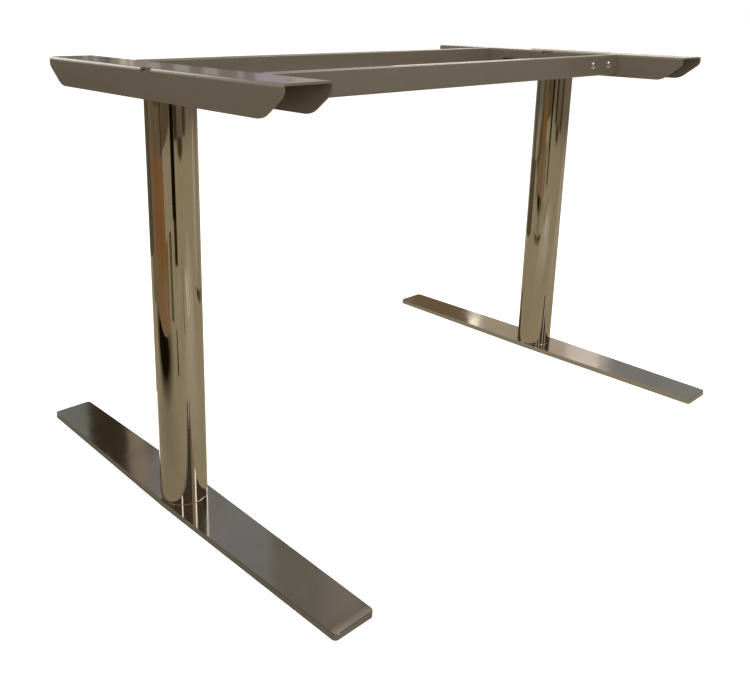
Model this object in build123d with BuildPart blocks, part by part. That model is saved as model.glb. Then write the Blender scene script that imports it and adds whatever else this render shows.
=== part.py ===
"""Table base: two legs on tapered foot plates, joined at the top by channel arms and two tubes.

X runs along the tubes, from the left leg to the right one, and -Y is the front.
Z is up, the floor is at zero, and the origin is midway between the legs.
"""

import os
from math import radians, tan

from build123d import *

os.makedirs("parts", exist_ok=True)

# Layout of the whole base, in millimetres
base_height = 700.0
leg_spacing = 1002.0
tube_spread = 336.0

# Foot plate, widest at its middle
foot_length = 808.0
foot_middle_width = 83.6
foot_end_width = 72.3
foot_thickness = 10.0
foot_corner_radius = 7.0
foot_edge_chamfer = 0.6

# Column, a round tube
column_diameter = 76.1
column_wall = 2.0

# Arm, a folded channel open downwards
arm_length = 610.0
arm_width = 80.0
arm_height = 45.0
arm_sheet = 3.0
arm_bend_radius = 5.0
arm_end_face = 14.5
arm_rake_angle = 38.0
arm_shoulder_radius = 12.0
arm_heel_radius = 35.0
bend_slot_length = 28.0
bend_slot_depth = 8.0
cable_hole_length = 36.0
cable_hole_height = 12.0
cable_hole_offset = 102.0
cable_hole_drop = 26.0
top_hole_diameter = 8.5
top_hole_inset = 35.0

# Stretcher, a rectangular tube
tube_height = 40.0
tube_depth = 15.0
tube_wall = 2.0
tube_corner_radius = 3.0
tube_end_gap = 1.0

# Tongue, a flat bar that stands in each end of a tube
tongue_length = 120.0
tongue_height = 25.0
tongue_play = 1.0
tongue_weld_leg = 2.0
tongue_stub = 8.0
tongue_first_screw = 35.0
tongue_screw_spacing = 59.0

# Base plug, head plate and saddle of a leg
plug_thickness = 12.0
foot_screw_circle = 44.0
foot_screw_count = 3
head_plate_thickness = 8.0
head_plate_length = 130.0
spigot_height = 8.0
saddle_sheet = 5.0
saddle_bend_radius = 7.0
saddle_tab_length = 14.5
saddle_tab_recess = 1.0
saddle_screw_spacing = 104.0

# Screws, all of one size
screw_diameter = 8.0
hex_socket_width = 5.0
hex_socket_depth = 2.6
button_head_diameter = 14.0
button_head_height = 4.4
button_head_rim = 0.6
button_crown_diameter = 7.0
button_shoulder_diameter = 12.0
button_shoulder_height = 2.8
flat_head_diameter = 16.0
screw_recess = 0.4
screw_end_gap = 1.6

# Clearances
fit_clearance = 0.2
screw_hole_clearance = 0.5
thread_clearance = 0.05

# Worked out from the sizes above
arm_inner_width = arm_width - 2 * arm_sheet
top_hole_spacing = arm_length - 2 * top_hole_inset
arm_underside = base_height - arm_height
arm_web_underside = base_height - arm_sheet
column_bore = column_diameter - 2 * column_wall
flange_x = (leg_spacing - arm_width) / 2
tube_length = 2 * (flange_x - tube_end_gap)
tube_axis_y = (tube_spread - tube_depth) / 2
tube_axis_z = base_height - tube_height / 2
tongue_thickness = tube_depth - 2 * tube_wall - tongue_play
tongue_axis_y = tube_spread / 2 - tube_wall - tongue_thickness / 2
thread_hole_radius = screw_diameter / 2 + thread_clearance
screw_hole_radius = screw_diameter / 2 + screw_hole_clearance
countersink_radius = flat_head_diameter / 2 + screw_recess
head_plate_top = arm_underside + head_plate_thickness

UP = (0, 0, 1)
DOWN = (0, 0, -1)
LEGS = {"left": -1, "right": 1}
TUBES = {"front": -1, "rear": 1}


def leg_level(side, height, direction=UP):
    """Horizontal plane on a leg's axis at the given height."""
    return Plane(origin=(side * leg_spacing / 2, 0, height), x_dir=(1, 0, 0), z_dir=direction)


def write_part(builder, name):
    """Label a finished piece and write it under its own name."""
    builder.part.label = name
    export_step(builder.part, f"parts/{name}.step")


def screw_places(side, face):
    """Planes at a tube's screw holes near one end, on its outer face, looking outwards."""
    first = flange_x - tongue_first_screw
    return [
        Plane(
            origin=(side * (first - step * tongue_screw_spacing), face * tube_spread / 2, tube_axis_z),
            x_dir=(1, 0, 0),
            z_dir=(0, face, 0),
        )
        for step in range(2)
    ]


def flat_head_screw(length):
    """Countersunk socket screw along -Z, with the top of its head at zero."""
    head_radius = flat_head_diameter / 2
    shank_radius = screw_diameter / 2
    with BuildPart() as screw:
        with BuildSketch(Plane.XZ):
            with BuildLine():
                Polyline(
                    (0, 0),
                    (head_radius, 0),
                    (shank_radius, shank_radius - head_radius),
                    (shank_radius, -length),
                    (0, -length),
                    close=True,
                )
            make_face()
        revolve(axis=Axis.Z)
        with BuildSketch(Plane.XY):
            RegularPolygon(hex_socket_width / 2, 6, major_radius=False)
        extrude(amount=-hex_socket_depth, mode=Mode.SUBTRACT)
    return screw.part


def button_head_screw(length):
    """Button head socket screw along -Z, with the underside of its head at zero."""
    head_radius = button_head_diameter / 2
    shank_radius = screw_diameter / 2
    with BuildPart() as screw:
        with BuildSketch(Plane.XZ):
            with BuildLine():
                Polyline(
                    (0, button_head_height),
                    (button_crown_diameter / 2, button_head_height),
                    (button_shoulder_diameter / 2, button_shoulder_height),
                    (head_radius, button_head_rim),
                    (head_radius, 0),
                    (shank_radius, 0),
                    (shank_radius, -length),
                    (0, -length),
                    close=True,
                )
            make_face()
        revolve(axis=Axis.Z)
        with BuildSketch(Plane.XY.offset(button_head_height)):
            RegularPolygon(hex_socket_width / 2, 6, major_radius=False)
        extrude(amount=-hex_socket_depth, mode=Mode.SUBTRACT)
    return screw.part


def make_foot(side, name):
    """Flat plate that narrows from its middle to both rounded ends, drilled from below."""
    with BuildPart() as foot:
        with BuildSketch(leg_level(side, 0)) as outline:
            with BuildLine():
                Polyline(
                    (foot_middle_width / 2, 0),
                    (foot_end_width / 2, foot_length / 2),
                    (-foot_end_width / 2, foot_length / 2),
                    (-foot_middle_width / 2, 0),
                    (-foot_end_width / 2, -foot_length / 2),
                    (foot_end_width / 2, -foot_length / 2),
                    close=True,
                )
            make_face()
            rows = outline.vertices().group_by(Axis.Y)
            fillet(rows[0] + rows[-1], radius=foot_corner_radius)
        extrude(amount=foot_thickness)
        chamfer(foot.faces().sort_by(Axis.Z)[-1].edges(), length=foot_edge_chamfer)
        with Locations(leg_level(side, 0, DOWN)):
            with PolarLocations(foot_screw_circle / 2, foot_screw_count):
                CounterSinkHole(screw_hole_radius, countersink_radius, counter_sink_angle=90)
    write_part(foot, name)


def make_column(side, name):
    """Round tube from the foot plate up to the arm."""
    with BuildPart() as column:
        with BuildSketch(leg_level(side, foot_thickness)):
            Circle(column_diameter / 2)
            Circle(column_bore / 2, mode=Mode.SUBTRACT)
        extrude(amount=arm_underside - foot_thickness)
    write_part(column, name)


def make_base_plug(side, name):
    """Tapped disc in the bottom of the column, which the foot is screwed to."""
    with BuildPart() as plug:
        with BuildSketch(leg_level(side, foot_thickness)):
            Circle(column_bore / 2 - fit_clearance)
        extrude(amount=plug_thickness)
        with Locations(leg_level(side, foot_thickness, DOWN)):
            with PolarLocations(foot_screw_circle / 2, foot_screw_count):
                Hole(thread_hole_radius)
    write_part(plug, name)


def make_foot_screws(side, name):
    """Countersunk screws up through the foot into the base plug."""
    screw = flat_head_screw(foot_thickness + plug_thickness - screw_recess - screw_end_gap)
    with BuildPart() as screws:
        with Locations(leg_level(side, screw_recess, DOWN)):
            with PolarLocations(foot_screw_circle / 2, foot_screw_count):
                add(screw)
    write_part(screws, name)


def make_head_plate(side, name):
    """Plate across the top of the column, inside the arm, with a spigot down into the tube."""
    with BuildPart() as plate:
        with BuildSketch(leg_level(side, arm_underside)):
            Rectangle(arm_inner_width - 2 * fit_clearance, head_plate_length)
        extrude(amount=head_plate_thickness)
        with BuildSketch(leg_level(side, arm_underside)):
            Circle(column_bore / 2 - fit_clearance)
        extrude(amount=-spigot_height)
        with Locations(leg_level(side, arm_underside, DOWN)):
            with GridLocations(0, saddle_screw_spacing, 1, 2):
                CounterSinkHole(screw_hole_radius, countersink_radius, counter_sink_angle=90)
    write_part(plate, name)


def make_saddle(side, name):
    """Folded bridge on the head plate, whose tabs stand in the slots of the arm's bends."""
    width = arm_inner_width - 2 * fit_clearance
    height = arm_web_underside - head_plate_top
    tab_top = arm_web_underside - fit_clearance
    tab_bottom = base_height - bend_slot_depth + fit_clearance
    tab_reach = arm_width - 2 * saddle_tab_recess
    tab_y = (saddle_tab_length - bend_slot_length) / 2 + 2 * fit_clearance
    across = Plane(origin=(side * leg_spacing / 2, 0, head_plate_top), x_dir=(1, 0, 0), z_dir=(0, -1, 0))
    with BuildPart() as saddle:
        with BuildSketch(across) as section:
            Rectangle(width, height, align=(Align.CENTER, Align.MIN))
            fillet(section.vertices().group_by(Axis.Y)[-1], radius=saddle_bend_radius)
            with BuildSketch(mode=Mode.SUBTRACT) as hollow:
                Rectangle(width - 2 * saddle_sheet, height - saddle_sheet, align=(Align.CENTER, Align.MIN))
                fillet(hollow.vertices().group_by(Axis.Y)[-1], radius=saddle_bend_radius - saddle_sheet)
        extrude(amount=head_plate_length / 2, both=True)
        with BuildSketch(leg_level(side, tab_bottom)):
            with Locations((0, tab_y)):
                Rectangle(tab_reach, saddle_tab_length)
        extrude(amount=tab_top - tab_bottom)
        with Locations(leg_level(side, arm_web_underside)):
            with GridLocations(0, saddle_screw_spacing, 1, 2):
                Hole(thread_hole_radius, depth=2 * saddle_sheet)
    write_part(saddle, name)


def make_saddle_screws(side, name):
    """Countersunk screws up through the head plate into the top of the saddle."""
    screw = flat_head_screw(arm_height - arm_sheet - screw_recess - screw_end_gap)
    with BuildPart() as screws:
        with Locations(leg_level(side, arm_underside + screw_recess, DOWN)):
            with GridLocations(0, saddle_screw_spacing, 1, 2):
                add(screw)
    write_part(screws, name)


def make_arm(side, name):
    """Folded channel with raked ends, slots in its bends and windows for the tongues."""
    rake_run = (arm_height - arm_end_face) / tan(radians(arm_rake_angle))
    half_length = arm_length / 2
    centre_x = side * leg_spacing / 2
    across = Plane(origin=(centre_x, 0, base_height), x_dir=(1, 0, 0), z_dir=(0, -1, 0))
    along = Plane(origin=(centre_x, 0, base_height), x_dir=(0, 1, 0), z_dir=(1, 0, 0))
    inner_flange = Plane(
        origin=(side * flange_x, 0, base_height),
        x_dir=(0, side, 0),
        z_dir=(side, 0, 0),
    )
    with BuildPart() as arm:
        with BuildSketch(across) as section:
            Rectangle(arm_width, arm_height, align=(Align.CENTER, Align.MAX))
            fillet(section.vertices().group_by(Axis.Y)[-1], radius=arm_bend_radius)
            with BuildSketch(mode=Mode.SUBTRACT) as hollow:
                with Locations((0, -arm_sheet)):
                    Rectangle(arm_inner_width, arm_height, align=(Align.CENTER, Align.MAX))
                fillet(hollow.vertices().group_by(Axis.Y)[-1], radius=arm_bend_radius - arm_sheet)
        extrude(amount=half_length, both=True)

        with BuildSketch(along):
            with BuildLine():
                Line((0, 0), (half_length, 0))
                FilletPolyline(
                    (half_length, 0),
                    (half_length, -arm_end_face),
                    (half_length - rake_run, -arm_height),
                    (0, -arm_height),
                    radius=[arm_shoulder_radius, arm_heel_radius],
                )
                mirror(about=Plane.YZ)
            make_face()
        extrude(amount=arm_width, both=True, mode=Mode.INTERSECT)

        with Locations(leg_level(side, base_height)):
            with GridLocations(arm_width, 0, 2, 1):
                Box(2 * arm_bend_radius, bend_slot_length, 2 * bend_slot_depth, mode=Mode.SUBTRACT)
            with GridLocations(0, top_hole_spacing, 1, 2):
                Hole(top_hole_diameter / 2, depth=2 * arm_sheet)

        with BuildSketch(inner_flange):
            with GridLocations(2 * cable_hole_offset, 0, 2, 1):
                with Locations((0, -cable_hole_drop)):
                    SlotOverall(cable_hole_length, cable_hole_height)
            with GridLocations(2 * tongue_axis_y, 0, 2, 1):
                with Locations((0, tube_axis_z - base_height)):
                    Rectangle(tongue_thickness + 2 * fit_clearance, tongue_height + 2 * fit_clearance)
        extrude(amount=2 * arm_sheet, mode=Mode.SUBTRACT)
    write_part(arm, name)


def make_tube(face, name):
    """Rectangular tube between the arms, drilled for two screws near each end."""
    profile = Plane(origin=(0, face * tube_axis_y, tube_axis_z), x_dir=(0, 1, 0), z_dir=(1, 0, 0))
    with BuildPart() as tube:
        with BuildSketch(profile):
            RectangleRounded(tube_depth, tube_height, tube_corner_radius)
            RectangleRounded(
                tube_depth - 2 * tube_wall,
                tube_height - 2 * tube_wall,
                tube_corner_radius - tube_wall,
                mode=Mode.SUBTRACT,
            )
        extrude(amount=tube_length / 2, both=True)
        with Locations(*[place for side in LEGS.values() for place in screw_places(side, face)]):
            Hole(screw_hole_radius, depth=tube_depth / 2)
    write_part(tube, name)


def make_tongue(side, face, name):
    """Flat bar through the arm's inner flange, welded inside it, that carries a tube's end."""
    root = Plane(
        origin=(side * (flange_x + arm_sheet), face * tongue_axis_y, tube_axis_z),
        x_dir=(0, 1, 0),
        z_dir=(side, 0, 0),
    )
    with BuildPart() as tongue:
        with BuildSketch(root):
            Rectangle(tongue_thickness, tongue_height)
        extrude(amount=tongue_stub)
        with BuildSketch(root):
            Rectangle(tongue_thickness, tongue_height)
        extrude(amount=-(tongue_length + arm_sheet))
        with BuildSketch(root):
            Rectangle(tongue_thickness + 2 * tongue_weld_leg, tongue_height + 2 * tongue_weld_leg)
        extrude(amount=tongue_weld_leg, taper=45)
        with Locations(*screw_places(side, face)):
            Hole(thread_hole_radius)
    write_part(tongue, name)


def make_tube_screws(side, face, name):
    """Button head screws through a tube's outer wall into the tongue."""
    screw = button_head_screw(tube_wall + tongue_thickness - screw_end_gap)
    with BuildPart() as screws:
        with Locations(*screw_places(side, face)):
            add(screw)
    write_part(screws, name)


for leg, side in LEGS.items():
    make_foot(side, f"{leg}_foot")
    make_column(side, f"{leg}_column")
    make_base_plug(side, f"{leg}_base_plug")
    make_foot_screws(side, f"{leg}_foot_screws")
    make_head_plate(side, f"{leg}_head_plate")
    make_saddle(side, f"{leg}_saddle")
    make_saddle_screws(side, f"{leg}_saddle_screws")
    make_arm(side, f"{leg}_arm")

for tube, face in TUBES.items():
    make_tube(face, f"{tube}_stretcher")
    for leg, side in LEGS.items():
        make_tongue(side, face, f"{tube}_{leg}_tongue")
        make_tube_screws(side, face, f"{tube}_{leg}_stretcher_screws")
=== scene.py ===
"""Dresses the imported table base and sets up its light, its floor, what its chrome mirrors and its camera.

Lengths are in metres, in the frame of the CAD: X along the stretchers, -Y the front, Z up.
Bearings are in degrees, from +Y towards +X.
"""

from math import cos, pi, radians, sin, tan

import bmesh
import bpy
from mathutils import Matrix, Vector

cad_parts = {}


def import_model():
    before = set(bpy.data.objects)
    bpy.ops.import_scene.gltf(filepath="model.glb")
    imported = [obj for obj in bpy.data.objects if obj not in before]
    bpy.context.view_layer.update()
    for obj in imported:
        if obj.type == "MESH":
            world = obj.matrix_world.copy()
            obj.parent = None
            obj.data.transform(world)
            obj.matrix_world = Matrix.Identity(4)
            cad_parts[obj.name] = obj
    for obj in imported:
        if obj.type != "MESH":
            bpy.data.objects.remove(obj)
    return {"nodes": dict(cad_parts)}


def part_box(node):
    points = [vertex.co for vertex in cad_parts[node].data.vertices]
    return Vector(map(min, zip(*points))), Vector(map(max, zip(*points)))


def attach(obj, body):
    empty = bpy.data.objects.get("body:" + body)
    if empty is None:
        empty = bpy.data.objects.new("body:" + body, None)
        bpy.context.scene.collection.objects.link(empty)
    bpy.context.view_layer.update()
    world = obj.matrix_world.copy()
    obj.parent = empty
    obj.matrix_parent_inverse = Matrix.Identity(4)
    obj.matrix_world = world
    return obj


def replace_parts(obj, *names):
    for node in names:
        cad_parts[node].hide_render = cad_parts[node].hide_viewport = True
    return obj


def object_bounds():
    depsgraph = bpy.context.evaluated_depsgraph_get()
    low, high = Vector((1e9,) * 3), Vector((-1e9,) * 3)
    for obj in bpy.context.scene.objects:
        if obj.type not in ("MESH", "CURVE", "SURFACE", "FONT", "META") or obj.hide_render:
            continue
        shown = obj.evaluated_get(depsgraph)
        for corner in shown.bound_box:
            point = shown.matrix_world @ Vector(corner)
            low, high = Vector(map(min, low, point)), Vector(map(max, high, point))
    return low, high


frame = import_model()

cad_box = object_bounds()
NODES = frame["nodes"]
BODY = "root"
LEGS = ("left", "right")
TUBES = {"front": -1, "rear": 1}

# Places read from the frame
foot_low, foot_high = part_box("right_foot")
leg_x = (foot_low.x + foot_high.x) / 2
near_leg = (-leg_x, 0.0)
far_leg = (leg_x, 0.0)

# Pieces made here
crease_angle = 32.0
ring_points = 48
dome_steps = 7
dome_turn = radians(61.0)
head_rim = 0.0006
rim_round = 0.0002
shank_radius = 0.004
thread_chamfer = 0.0006
hex_across = 0.005
hex_depth = 0.0026
drill_point = 0.0006
bead_radius = 0.0007
bead_points = 12

# Surroundings that the camera doesn't see, fitted to the reflections in the photograph
floor_tan = (0.36, 0.295, 0.185)
floor_far = (0.19, 0.155, 0.105)
floor_drop = 0.002
shade_height = -0.001
tan_reach = (5.2, 5.2)
# Painted contact shadow on the tan floor by the near foot: its width, and its colours along the foot's side
# and at its front end
foot_shade = 0.016
side_contact_shadow = (0.19, 0.16, 0.125)
end_contact_shadow = (0.22, 0.19, 0.155)
things_heights = (0.0, 0.9)
foot_wall_distance = 7.0
foot_detail_distance = 6.8
top_wall_distance = 10.4
top_thing_distance = 10.2
top_front_distance = 10.0

# Camera, fitted to the straight edges in the photograph
photo_width = 750
photo_height = 683
focal_pixels = 829.8
centre_column = 331.0
centre_row = 230.0
camera_place = Vector((-1.1518, -1.0468, 0.7849))
camera_bearing = 42.89
camera_dip = 15.00
camera_roll = 0.82
sensor_width = 36.0


# Shader helpers

class Nodes:
    """A material's node tree, with short calls for the nodes that the finishes share."""

    def __init__(self, name):
        self.material = bpy.data.materials.new(name)
        self.material.use_nodes = True
        self.tree = self.material.node_tree
        self.shader = self.tree.nodes["Principled BSDF"]

    def add(self, kind, **settings):
        node = self.tree.nodes.new(kind)
        for key, value in settings.items():
            setattr(node, key, value)
        return node

    def link(self, source, target):
        self.tree.links.new(source, target)

    def set(self, **values):
        """Constant values on the shader's own sockets, named with _ for spaces."""
        for key, value in values.items():
            self.shader.inputs[key.replace("_", " ")].default_value = value

    def place(self, stretch=(1.0, 1.0, 1.0)):
        """The object's own coordinates in metres, stretched along its axes."""
        coordinates = self.add("ShaderNodeTexCoord")
        mapping = self.add("ShaderNodeMapping")
        mapping.inputs["Scale"].default_value = stretch
        self.link(coordinates.outputs["Object"], mapping.inputs["Vector"])
        return mapping.outputs["Vector"]

    def noise(self, size, detail=2.0, roughness=0.5, stretch=(1.0, 1.0, 1.0)):
        """Noise whose lumps are about this size in metres."""
        node = self.add("ShaderNodeTexNoise")
        node.inputs["Scale"].default_value = 1.0 / size
        node.inputs["Detail"].default_value = detail
        node.inputs["Roughness"].default_value = roughness
        self.link(self.place(stretch), node.inputs["Vector"])
        return node.outputs["Fac"]

    def specks(self, spacing, radius):
        """One at the middle of scattered round specks, zero between them."""
        cells = self.add("ShaderNodeTexVoronoi", feature="F1")
        cells.inputs["Scale"].default_value = 1.0 / spacing
        self.link(self.place(), cells.inputs["Vector"])
        return self.ranged(cells.outputs["Distance"], (radius / spacing, 0.0), (0.0, 1.0))

    def ranged(self, value, source, target):
        """The value moved from one range to another and held inside it."""
        node = self.add("ShaderNodeMapRange")
        node.inputs["From Min"].default_value, node.inputs["From Max"].default_value = source
        node.inputs["To Min"].default_value, node.inputs["To Max"].default_value = target
        self.link(value, node.inputs["Value"])
        return node.outputs["Result"]

    def sum(self, first, second, operation="ADD"):
        node = self.add("ShaderNodeMath", operation=operation)
        self.link(first, node.inputs[0])
        self.link(second, node.inputs[1])
        return node.outputs["Value"]

    def blend(self, factor, first, second):
        """A colour between two others."""
        node = self.add("ShaderNodeMix", data_type="RGBA")
        self.link(factor, node.inputs["Factor"])
        for value, socket in ((first, node.inputs[6]), (second, node.inputs[7])):
            if isinstance(value, tuple):
                socket.default_value = (*value, 1.0)
            else:
                self.link(value, socket)
        return node.outputs[2]

    def oval(self, under, centre, reach, bearing, core, colour):
        """The colour under it, changed inside a soft oval whose long side points along a bearing."""
        coordinates = self.add("ShaderNodeTexCoord")
        mapping = self.add("ShaderNodeMapping", vector_type="TEXTURE")
        mapping.inputs["Location"].default_value = (*centre, 0.0)
        mapping.inputs["Rotation"].default_value = (0.0, 0.0, radians(-bearing))
        mapping.inputs["Scale"].default_value = (*reach, 1000.0)
        self.link(coordinates.outputs["Object"], mapping.inputs["Vector"])
        length = self.add("ShaderNodeVectorMath", operation="LENGTH")
        self.link(mapping.outputs["Vector"], length.inputs[0])
        return self.blend(self.ranged(length.outputs["Value"], (1.0, core), (0.0, 1.0)), under, colour)

    def bump(self, height, depth, under=None):
        """Relief of this depth in metres, over the relief given."""
        node = self.add("ShaderNodeBump")
        node.inputs["Distance"].default_value = depth
        self.link(height, node.inputs["Height"])
        if under is not None:
            self.link(under, node.inputs["Normal"])
        return node.outputs["Normal"]


def chrome(name, tint, smooth, hazy, ripple):
    """Plated steel: slow ripples in the surface, cloudy haze, hair scratches and a little dust."""
    n = Nodes(name)
    n.set(Metallic=1.0)
    cloud = n.noise(0.09, detail=3.0)
    scratches = n.ranged(n.noise(0.0007, detail=3.0, stretch=(1.0, 0.04, 0.04)), (0.62, 0.75), (0.0, 1.0))
    dust = n.specks(0.006, 0.0006)
    haze = n.ranged(cloud, (0.35, 0.70), (smooth, hazy))
    scratched = n.ranged(scratches, (0.0, 1.0), (0.0, 0.05))
    dusty = n.ranged(dust, (0.0, 1.0), (0.0, 0.25))
    n.link(n.sum(n.sum(haze, scratched), dusty), n.shader.inputs["Roughness"])
    dull = tuple(0.90 * c for c in tint)
    n.link(n.blend(cloud, tint, dull), n.shader.inputs["Base Color"])
    waves = n.bump(n.noise(0.05, detail=1.0, stretch=(1.0, 1.0, 0.25)), ripple)
    n.link(n.bump(n.noise(0.006, detail=2.0), ripple * 0.01, under=waves), n.shader.inputs["Normal"])
    return n.material


def powder_coat(name, colour, pale):
    """Satin powder coat: orange peel relief, fine mottling and a few paler specks."""
    n = Nodes(name)
    n.set(Coat_Weight=0.7, Coat_Roughness=0.13)
    peel = n.noise(0.0016, detail=2.0)
    grain = n.noise(0.0004, detail=1.0)
    mottle = n.noise(0.05, detail=4.0, roughness=0.6)
    dark = tuple(0.88 * c for c in colour)
    body = n.blend(mottle, dark, colour)
    flecks = n.ranged(n.specks(0.0035, 0.0003), (0.0, 1.0), (0.0, 0.5))
    n.link(n.blend(flecks, body, pale), n.shader.inputs["Base Color"])
    n.link(n.ranged(mottle, (0.3, 0.7), (0.30, 0.38)), n.shader.inputs["Roughness"])
    waves = n.bump(peel, 0.00006)
    n.link(n.bump(grain, 0.000008, under=waves), n.shader.inputs["Normal"])
    return n.material


def zinc_plate(name, tint):
    """Bright zinc: fine spangle and light machining marks."""
    n = Nodes(name)
    n.set(Metallic=1.0)
    spangle = n.noise(0.0012, detail=3.0)
    warm = (tint[0], tint[1] * 0.97, tint[2] * 0.90)
    n.link(n.blend(spangle, tint, warm), n.shader.inputs["Base Color"])
    n.link(n.ranged(spangle, (0.3, 0.7), (0.12, 0.26)), n.shader.inputs["Roughness"])
    n.link(n.bump(n.noise(0.0005), 0.000012), n.shader.inputs["Normal"])
    return n.material


def mill_steel(name, bright, scale):
    """Uncoated steel: blotches of dark mill scale on a duller, brighter ground."""
    n = Nodes(name)
    n.set(Metallic=0.85)
    blotch = n.ranged(n.noise(0.018, detail=6.0, roughness=0.65), (0.42, 0.60), (0.0, 1.0))
    n.link(n.blend(blotch, bright, scale), n.shader.inputs["Base Color"])
    n.link(n.ranged(blotch, (0.0, 1.0), (0.34, 0.58)), n.shader.inputs["Roughness"])
    n.link(n.bump(n.noise(0.0009, detail=4.0), 0.00002), n.shader.inputs["Normal"])
    return n.material


def finish_nodes():
    """Each CAD node gets the finish of its slot, and the feet their own grade of chrome."""
    finishes = {
        "chrome": chrome("chrome_tube", (0.66, 0.63, 0.58), 0.025, 0.06, 0.00012),
        "frame_paint": powder_coat("frame_powder_coat", (0.188, 0.160, 0.128), (0.30, 0.27, 0.22)),
        "zinc": zinc_plate("zinc_plate", (0.80, 0.79, 0.76)),
        "plain_steel": mill_steel("mill_steel", (0.30, 0.28, 0.26), (0.10, 0.09, 0.085)),
    }
    foot_finish = chrome("chrome_plate", (0.62, 0.60, 0.57), 0.06, 0.11, 0.00008)
    for name, node in NODES.items():
        for place in node.material_slots:
            place.material = foot_finish if name.endswith("_foot") else finishes[place.material.name]
    return finishes


def mesh_piece(name, form, material):
    """A new piece made from a bmesh, which takes its finish from the slot and rides on the base."""
    mesh = bpy.data.meshes.new(name)
    bmesh.ops.recalc_face_normals(form, faces=form.faces)
    form.to_mesh(mesh)
    form.free()
    mesh.shade_smooth()
    mesh.set_sharp_from_angle(angle=radians(crease_angle))
    mesh.materials.append(material)
    piece = bpy.data.objects.new(name, mesh)
    bpy.context.scene.collection.objects.link(piece)
    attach(piece, BODY)
    return piece


def ring(form, places):
    return [form.verts.new(place) for place in places]


def join_rings(form, first, second):
    """Quads between two closed rings of as many points."""
    count = len(first)
    for i in range(count):
        j = (i + 1) % count
        form.faces.new((first[i], first[j], second[j], second[i]))


def circle_points(frame_of, radius, height):
    turns = [2 * pi * i / ring_points for i in range(ring_points)]
    return [frame_of @ Vector((radius * cos(turn), radius * sin(turn), height)) for turn in turns]


def hexagon_points(frame_of, across, height):
    """Points round a hexagon, on the same bearings as those of a circle."""
    points = []
    for i in range(ring_points):
        turn = 2 * pi * i / ring_points
        from_flat = (turn + pi / 6) % (pi / 3) - pi / 6
        radius = across / 2 / cos(from_flat)
        points.append(frame_of @ Vector((radius * cos(turn), radius * sin(turn), height)))
    return points


def domed_screw(form, frame_of, head_radius, head_height, shank_length):
    """Button head screw along the frame's Z, the underside of its head at zero."""
    dome = [
        (head_radius * cos(turn), head_rim + (head_height - head_rim) * sin(turn) / sin(dome_turn))
        for turn in (dome_turn * step / dome_steps for step in range(dome_steps + 1))
    ]
    profile = [
        (shank_radius - thread_chamfer, -shank_length),
        (shank_radius, thread_chamfer - shank_length),
        (shank_radius, -rim_round),
        (shank_radius + rim_round, 0.0),
        (head_radius - rim_round, 0.0),
        (head_radius, rim_round),
        *dome,
    ]
    rings = [ring(form, circle_points(frame_of, *place)) for place in profile]
    rings.append(ring(form, hexagon_points(frame_of, hex_across + 2 * rim_round, head_height)))
    rings.append(ring(form, hexagon_points(frame_of, hex_across, head_height - rim_round)))
    rings.append(ring(form, hexagon_points(frame_of, hex_across, head_height - hex_depth)))
    for first, second in zip(rings, rings[1:]):
        join_rings(form, first, second)
    for end, height in ((rings[0], -shank_length), (rings[-1], head_height - hex_depth - drill_point)):
        middle = form.verts.new(frame_of @ Vector((0.0, 0.0, height)))
        for i in range(ring_points):
            form.faces.new((end[i], end[(i + 1) % ring_points], middle))


def stretcher_screws(zinc):
    """Domed screws with clean hexagon sockets, in place of the faceted ones at each end of each stretcher."""
    for tube, face in TUBES.items():
        for leg in LEGS:
            node = f"{tube}_{leg}_stretcher_screws"
            low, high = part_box(node)
            radius = (high.z - low.z) / 2
            outer = low.y if face < 0 else high.y
            inner = high.y if face < 0 else low.y
            tube_low, tube_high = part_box(f"{tube}_stretcher")
            seat = tube_low.y if face < 0 else tube_high.y
            form = bmesh.new()
            for x in (low.x + radius, high.x - radius):
                place = Vector((x, seat, (low.z + high.z) / 2))
                frame_of = Matrix.Translation(place) @ Matrix.Rotation(-face * pi / 2, 4, "X")
                domed_screw(form, frame_of, radius, abs(outer - seat), abs(inner - seat))
            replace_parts(mesh_piece(f"{node}_domed", form, zinc), node)


def column_beads(plate):
    """The fine bead of weld round the foot of each column."""
    for leg in LEGS:
        low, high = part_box(f"{leg}_column")
        middle = Vector(((low.x + high.x) / 2, (low.y + high.y) / 2, foot_high.z))
        frame_of = Matrix.Translation(middle)
        column_radius = (high.x - low.x) / 2
        form = bmesh.new()
        rings = []
        for step in range(bead_points):
            turn = 2 * pi * step / bead_points
            radius = column_radius + bead_radius * cos(turn)
            rings.append(ring(form, circle_points(frame_of, radius, bead_radius * sin(turn))))
        for first, second in zip(rings, rings[1:] + rings[:1]):
            join_rings(form, first, second)
        mesh_piece(f"{leg}_column_bead", form, plate)


def camera():
    """The photograph's own view, with the shift that its framing needs."""
    data = bpy.data.cameras.new("camera")
    data.sensor_width = sensor_width
    data.lens = focal_pixels / photo_width * sensor_width
    data.shift_x = (photo_width / 2 - centre_column) / photo_width
    data.shift_y = (centre_row - photo_height / 2) / photo_width
    data.clip_end = 200.0
    view = bpy.data.objects.new("camera", data)
    bpy.context.scene.collection.objects.link(view)
    turn = (
        Matrix.Rotation(radians(-camera_bearing), 4, "Z")
        @ Matrix.Rotation(radians(90.0 - camera_dip), 4, "X")
        @ Matrix.Rotation(radians(camera_roll), 4, "Z")
    )
    view.matrix_world = Matrix.Translation(camera_place) @ turn
    bpy.context.scene.camera = view


def stage_panel(name, corners, material):
    """A four-sided panel that isn't part of the object."""
    mesh = bpy.data.meshes.new(name)
    mesh.from_pydata([tuple(c) for c in corners], [], [range(4)])
    mesh.materials.append(material)
    panel = bpy.data.objects.new(name, mesh)
    bpy.context.scene.collection.objects.link(panel)
    return panel


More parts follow.
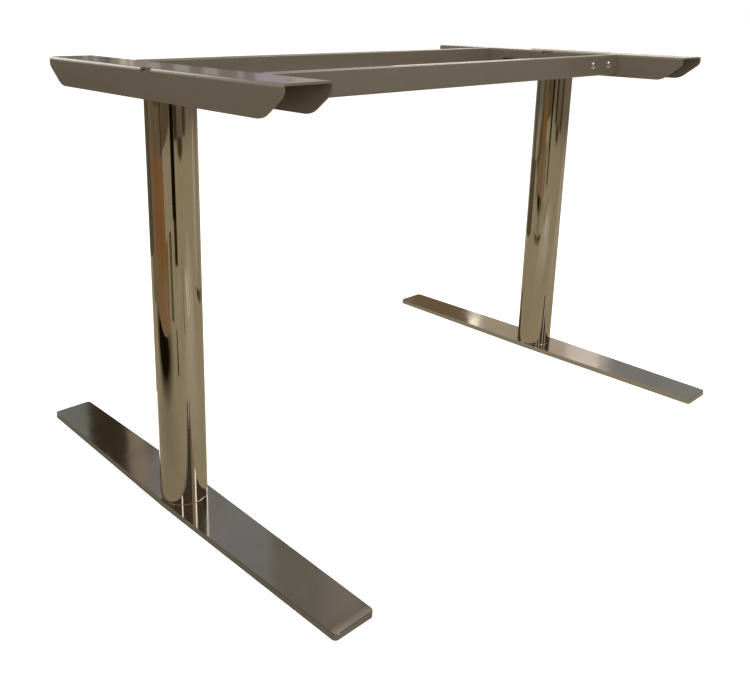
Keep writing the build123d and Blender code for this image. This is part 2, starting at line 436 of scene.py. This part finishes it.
def glow(name, stops):
    """Dull glow for a panel: one colour, or colours that change with height, given as (height, colour)."""
    n = Nodes(name)
    n.set(Base_Color=(0.0, 0.0, 0.0, 1.0), Roughness=1.0, Specular_IOR_Level=0.0)
    uneven = n.noise(0.22, detail=3.0, roughness=0.6)
    n.link(n.ranged(uneven, (0.3, 0.7), (0.88, 1.12)), n.shader.inputs["Emission Strength"])
    if isinstance(stops, tuple):
        n.set(Emission_Color=(*stops, 1.0))
        return n.material
    lowest, highest = stops[0][0], stops[-1][0]
    parts = n.add("ShaderNodeSeparateXYZ")
    n.link(n.place(), parts.inputs["Vector"])
    ramp = n.add("ShaderNodeValToRGB")
    while len(ramp.color_ramp.elements) < len(stops):
        ramp.color_ramp.elements.new(0.5)
    for element, (height, colour) in zip(ramp.color_ramp.elements, stops):
        element.position = (height - lowest) / (highest - lowest)
        element.color = (*colour, 1.0)
    n.link(n.ranged(parts.outputs["Z"], (lowest, highest), (0.0, 1.0)), ramp.inputs["Fac"])
    n.link(ramp.outputs["Color"], n.shader.inputs["Emission Color"])
    return n.material


def room_panel(name, corners, stops):
    """A glowing panel near the base, which shows only in reflections."""
    panel = stage_panel(name, corners, glow(name, stops))
    panel.visible_camera = False
    panel.visible_diffuse = False
    panel.visible_shadow = False
    panel.visible_transmission = False


def spot(seen_from, bearing, distance):
    """A place on the floor by its bearing and distance from another."""
    turn = radians(bearing)
    return seen_from[0] + distance * sin(turn), seen_from[1] + distance * cos(turn)


def upright(name, start, end, heights, stops):
    """An upright panel over the line between two places on the floor."""
    low, high = heights
    room_panel(name, [(*start, low), (*end, low), (*end, high), (*start, high)], stops)


def facing(name, seen_from, bearings, distance, heights, stops):
    """An upright panel between two bearings from a place."""
    start, end = (spot(seen_from, bearing, distance) for bearing in bearings)
    upright(name, start, end, heights, stops)


def mirrored(name, surface_height, bearings, rises, distance, colour):
    """An upright panel that a level surface shows to the camera between these bearings and rises."""
    eye_height = 2 * surface_height - camera_place.z
    heights = [eye_height + distance * tan(radians(rise)) for rise in rises]
    facing(name, camera_place, bearings, distance, heights, colour)


def strip(name, start, end, width, colour, height=0.001):
    """A flat strip on the floor from one place to another."""
    start, end = Vector(start), Vector(end)
    side = (end - start).normalized().orthogonal() * width / 2
    room_panel(name, [(*p, height) for p in (start - side, end - side, end + side, start + side)], colour)


def square(reach, height):
    corners = ((-reach, -reach), (reach, -reach), (reach, reach), (-reach, reach))
    return [(*corner, height) for corner in corners]


def white_floor():
    """The plain pale floor under the base, which the camera sees and the chrome doesn't."""
    n = Nodes("pale_floor")
    n.set(Base_Color=(0.92, 0.92, 0.92, 1.0), Roughness=0.9, Specular_IOR_Level=0.1)
    n.set(Emission_Color=(1.0, 1.0, 1.0, 1.0), Emission_Strength=0.80)
    floor = stage_panel("floor", square(60.0, 0.0), n.material)
    floor.visible_glossy = False
    floor.visible_diffuse = False


def room_floor():
    """A tan floor under the white one, which the camera doesn't see. It lights the base and shows in it."""
    n = Nodes("room_floor")
    n.set(Base_Color=(0.0, 0.0, 0.0, 1.0), Roughness=1.0, Specular_IOR_Level=0.0)
    colour = n.oval(floor_far, near_leg, tan_reach, 0.0, 0.62, floor_tan)
    # Soft ovals over the tan floor: lighter patches in front, to the right and to the right behind, a darker
    # patch beside the near foot, a dark rug far in front, and a painted shadow, nearly black, on the table's
    # side of the wooden panels
    for centre, reach, bearing, core, patch in (
        ((-0.10, -0.90), (0.50, 0.95), 155.0, 0.2, (0.50, 0.42, 0.31)),
        ((2.35, -0.93), (0.55, 2.20), 108.0, 0.4, (0.46, 0.40, 0.30)),
        ((1.13, 1.47), (1.00, 1.00), 0.0, 0.3, (0.50, 0.46, 0.38)),
        ((-0.86, 0.05), (0.42, 0.35), 0.0, 0.2, (0.25, 0.21, 0.135)),
        ((-0.40, -3.75), (0.95, 0.65), 0.0, 0.6, (0.06, 0.045, 0.022)),
        ((-1.17, 0.20), (0.31, 0.66), 0.0, 0.46, (0.010, 0.006, 0.002)),
    ):
        colour = n.oval(colour, centre, reach, bearing, core, patch)
    n.link(colour, n.shader.inputs["Emission Color"])
    uneven = n.noise(0.35, detail=4.0, roughness=0.6)
    n.link(n.ranged(uneven, (0.3, 0.7), (0.92, 1.08)), n.shader.inputs["Emission Strength"])
    floor = stage_panel("room_floor", square(30.0, -floor_drop), n.material)
    floor.visible_camera = False
    floor.visible_shadow = False
    # Painted contact shadow: darker strips on the tan floor along the near foot's outer side and across its
    # front end, for the foot's side faces to mirror
    side = -leg_x - (foot_high.x - foot_low.x) / 2
    strip("foot_shade", (side, -foot_high.y), (side, foot_high.y), 2 * foot_shade, side_contact_shadow, shade_height)
    front = -foot_high.y
    strip("foot_end_shade", (-leg_x, front - foot_shade), (-leg_x, front), 0.1, end_contact_shadow, shade_height)


def things_by_the_columns():
    """Panels and floor patches that the columns mirror, mostly by bearing and distance from the near one."""
    wood = [
        (0.00, (0.28, 0.160, 0.080)),
        (0.12, (0.25, 0.155, 0.070)),
        (0.23, (0.25, 0.120, 0.045)),
    ]
    wood_above = [
        (0.23, (0.24, 0.110, 0.042)),
        (0.36, (0.25, 0.125, 0.048)),
        (0.43, (0.23, 0.120, 0.050)),
        (0.46, (0.17, 0.120, 0.070)),
        (0.56, (0.16, 0.115, 0.065)),
    ]
    wood_x = -1.27
    upright("wooden_lower", (wood_x, -0.34), (wood_x, 1.90), (0.0, 0.23), wood)
    upright("wooden_upper", (wood_x, -0.20), (wood_x, 1.30), (0.23, 0.56), wood_above)
    upright("wooden_side", (wood_x + 0.01, 0.85), (wood_x + 0.01, 1.90), (0.0, 0.10), (0.11, 0.065, 0.03))
    front_x = wood_x + 0.01
    upright("wooden_gap", (front_x, -0.165), (front_x, -0.100), (0.45, 0.58), (0.05, 0.034, 0.014))
    facing("green_edge", near_leg, (229.0, 239.0), 0.88, (0.0, 0.24), (0.12, 0.102, 0.048))
    facing("left_cabinet", near_leg, (300.0, 341.0), 1.05, (0.0, 0.60), (0.20, 0.15, 0.095))
    facing("black_stand", near_leg, (204.0, 220.0), 1.36, (0.15, 0.80), (0.010, 0.006, 0.003))
    facing("black_stand_leg", near_leg, (204.0, 216.0), 1.36, (0.0, 0.15), (0.035, 0.018, 0.010))

    for name, bearings, distance, colour in (
        ("left_shade", (222.0, 305.0), 4.7, (0.125, 0.087, 0.048)),
        ("front_shade", (146.0, 206.0), 4.6, (0.16, 0.12, 0.08)),
        ("chair_a", (264.0, 275.0), 4.2, (0.08, 0.055, 0.030)),
        ("chair_b", (246.0, 256.0), 4.1, (0.09, 0.065, 0.038)),
        ("chair_c", (229.0, 238.0), 4.2, (0.075, 0.055, 0.030)),
        ("chair_d", (189.0, 203.0), 3.9, (0.055, 0.038, 0.018)),
        ("chair_e", (151.0, 167.0), 4.1, (0.075, 0.050, 0.026)),
        ("chair_f", (62.0, 82.0), 4.8, (0.17, 0.14, 0.115)),
    ):
        facing(name, near_leg, bearings, distance, things_heights, colour)
    strip("cream_light", (-0.31, -1.30), (-0.265, -0.86), 0.055, (0.80, 0.68, 0.52))
    strip("cream_light_soft", (-0.17, -1.22), (-0.16, -0.86), 0.09, (0.60, 0.50, 0.38))
    strip("floor_joint", (-0.66, -1.40), (-0.55, -0.78), 0.035, (0.13, 0.10, 0.06))
    strip("black_stand_foot", (-1.02, -0.63), (-0.84, -0.43), 0.055, (0.06, 0.04, 0.02))


def walls_seen_in_the_feet():
    """Panels that the level feet mirror, by bearing and rise from the camera."""
    foot_top = foot_high.z
    near_rises, far_rises = (23.0, 45.0), (17.5, 27.0)
    for name, bearings, rises, colour in (
        ("wall_grey", (14.0, 25.2), near_rises, (0.23, 0.235, 0.215)),
        ("wall_dark", (25.2, 27.9), near_rises, (0.050, 0.036, 0.020)),
        ("wall_olive", (27.9, 29.2), near_rises, (0.30, 0.245, 0.175)),
        ("wall_mauve", (29.2, 34.5), near_rises, (0.26, 0.235, 0.225)),
        ("wall_lilac", (34.5, 38.5), near_rises, (0.25, 0.24, 0.235)),
        ("wall_warm", (38.5, 42.5), near_rises, (0.195, 0.172, 0.142)),
        ("wall_pale", (42.5, 47.0), near_rises, (0.25, 0.215, 0.18)),
        ("wall_tan", (46.0, 48.9), far_rises, (0.27, 0.20, 0.12)),
        ("wall_brown", (48.9, 53.0), far_rises, (0.195, 0.130, 0.073)),
        ("wall_glow", (53.0, 54.0), far_rises, (0.62, 0.55, 0.44)),
        ("wall_cream", (54.0, 58.8), far_rises, (0.49, 0.415, 0.29)),
        ("wall_light", (58.8, 60.0), far_rises, (0.60, 0.50, 0.39)),
        ("wall_bright", (60.0, 62.2), far_rises, (0.92, 0.81, 0.71)),
        ("wall_soft", (62.2, 62.9), far_rises, (0.50, 0.46, 0.41)),
        ("wall_silver", (62.9, 66.5), far_rises, (0.275, 0.260, 0.250)),
        ("wall_end", (66.5, 73.0), far_rises, (0.300, 0.293, 0.270)),
    ):
        mirrored(name, foot_top, bearings, rises, foot_wall_distance, colour)
    mirrored("wall_lamp", foot_top, (53.1, 53.7), (20.4, 21.4), foot_detail_distance, (2.0, 1.85, 1.6))
    mirrored("wall_frame", foot_top, (29.2, 29.8), (23.0, 29.7), foot_detail_distance, (0.10, 0.085, 0.085))


def windows_seen_in_the_arm_tops():
    """Panels that the glossy arm tops mirror at a low angle, dim in the middle and bright beside it."""
    arm_top = cad_box[1].z
    rises = (1.0, 6.5)
    wall = (0.155, 0.142, 0.138)
    pane = (0.42, 0.395, 0.375)
    cream = (0.78, 0.69, 0.53)
    mirrored("low_wall", arm_top, (20.0, 40.1), rises, top_wall_distance, wall)
    panes = ((26.4, 26.7), (27.0, 27.3), (30.5, 31.3), (32.2, 33.2), (34.1, 35.1), (36.4, 36.8))
    for number, bearings in enumerate(panes):
        mirrored(f"low_pane_{number}", arm_top, bearings, rises, top_thing_distance, pane)
    for name, bearings, colour in (
        ("low_post", (27.8, 28.1), (0.03, 0.02, 0.01)),
        ("low_shelf", (28.1, 30.5), (0.32, 0.26, 0.22)),
        ("low_lilac", (37.6, 40.1), (0.48, 0.44, 0.53)),
        ("low_warm", (40.1, 47.0), (0.60, 0.57, 0.52)),
        ("low_white", (47.0, 56.0), (1.75, 1.70, 1.68)),
        ("low_beige", (56.0, 61.0), (1.15, 1.06, 0.88)),
        ("low_bright", (61.0, 75.0), (1.95, 1.82, 1.56)),
    ):
        mirrored(name, arm_top, bearings, rises, top_thing_distance, colour)
    for name, bearings in (("low_cream_a", (28.7, 29.15)), ("low_cream_b", (29.3, 29.55))):
        mirrored(name, arm_top, bearings, rises, top_front_distance, cream)


def lamps_and_skylights():
    """Panels for the bends' light lines and the chrome's highlights, and screens that hide some of them."""
    facing("left_windows", near_leg, (340.0, 374.0), 5.0, (1.7, 4.1), (2.9, 2.75, 2.5))
    facing("near_screen", near_leg, (322.0, 376.0), 0.62, (0.26, 0.66), (0.11, 0.088, 0.050))
    facing("far_screen", far_leg, (322.0, 376.0), 0.62, (0.13, 0.36), (0.11, 0.088, 0.050))
    facing("left_windows_side", near_leg, (318.0, 343.0), 5.0, (0.9, 2.6), (1.1, 1.0, 0.9))
    facing("right_windows", (0.0, 0.0), (84.0, 122.0), 5.0, (4.3, 6.5), (2.6, 2.5, 2.3))
    facing("right_edge_light", near_leg, (48.0, 80.0), 4.0, (2.1, 2.9), (1.4, 1.35, 1.25))
    facing("pale_wall", near_leg, (127.0, 152.0), 9.5, (0.13, 1.7), (0.68, 0.72, 0.74))
    facing("pale_wall_end", near_leg, (112.0, 127.0), 9.5, (0.13, 1.7), (0.40, 0.41, 0.40))
    room_panel("ceiling", square(4.5, 6.0), (0.40, 0.38, 0.35))
    facing("far_side", far_leg, (338.0, 368.0), 2.0, (0.0, 0.55), (0.10, 0.102, 0.080))
    high_colour = (0.34, 0.32, 0.29)
    for number, bearing in enumerate((100.0, 160.0, 220.0, 280.0)):
        facing(f"high_wall_{number}", (0.0, 0.0), (bearing, bearing + 55.0), 5.5, (5.0, 9.0), high_colour)
    facing("front_wall", near_leg, (150.0, 174.0), 3.1, (1.55, 2.2), (0.42, 0.34, 0.24))
    facing("front_lamp", near_leg, (151.5, 157.5), 3.0, (1.55, 2.2), (2.5, 2.3, 1.9))
    facing("side_lamp", near_leg, (220.5, 226.0), 3.0, (1.80, 2.2), (2.4, 2.2, 1.8))
    for number, bearing in enumerate((150.0, 171.0, 196.0, 214.0)):
        facing(f"far_lamp_{number}", far_leg, (bearing, bearing + 3.5), 3.0, (0.9, 1.35), (1.3, 1.15, 0.9))
    screws = (leg_x, -0.18)
    for number, bearing in enumerate((62.0, 114.0)):
        bearings = (bearing, bearing + 52.0)
        facing(f"screw_window_{number}", screws, bearings, 1.3, (1.75, 2.8), (3.4, 3.2, 2.9))


def lights():
    """Soft light from above and from the front left, which the chrome doesn't mirror."""
    for name, place, size, power in (
        ("top_light", (-0.6, -0.8, 3.4), 4.5, 85.0),
        ("front_light", (-3.2, -3.4, 1.6), 3.0, 60.0),
    ):
        data = bpy.data.lights.new(name, "AREA")
        data.shape = "SQUARE"
        data.size = size
        data.energy = power
        data.color = (1.0, 0.97, 0.93)
        lamp = bpy.data.objects.new(name, data)
        lamp.location = place
        lamp.rotation_euler = (-Vector(place)).to_track_quat("-Z", "Y").to_euler()
        lamp.visible_glossy = False
        bpy.context.scene.collection.objects.link(lamp)


def world():
    """White behind the base for the camera, dim brown in reflections, and even light for the rest."""
    around = bpy.data.worlds.new("world")
    bpy.context.scene.world = around
    around.use_nodes = True
    tree = around.node_tree
    path = tree.nodes.new("ShaderNodeLightPath")
    shown = tree.nodes["Background"]
    shown.inputs["Color"].default_value = (0.38, 0.365, 0.34, 1.0)
    for ray, colour in (
        ("Is Glossy Ray", (0.11, 0.080, 0.053)),
        ("Is Camera Ray", (1.0, 1.0, 1.0)),
    ):
        other = tree.nodes.new("ShaderNodeBackground")
        other.inputs["Color"].default_value = (*colour, 1.0)
        mix = tree.nodes.new("ShaderNodeMixShader")
        tree.links.new(path.outputs[ray], mix.inputs["Fac"])
        tree.links.new(shown.outputs[0], mix.inputs[1])
        tree.links.new(other.outputs[0], mix.inputs[2])
        shown = mix
    tree.links.new(shown.outputs[0], tree.nodes["World Output"].inputs["Surface"])


bpy.context.scene.view_settings.view_transform = "Standard"
camera()
finishes = finish_nodes()
stretcher_screws(finishes["zinc"])
column_beads(finishes["chrome"])
white_floor()
room_floor()
things_by_the_columns()
walls_seen_in_the_feet()
windows_seen_in_the_arm_tops()
lamps_and_skylights()
lights()
world()
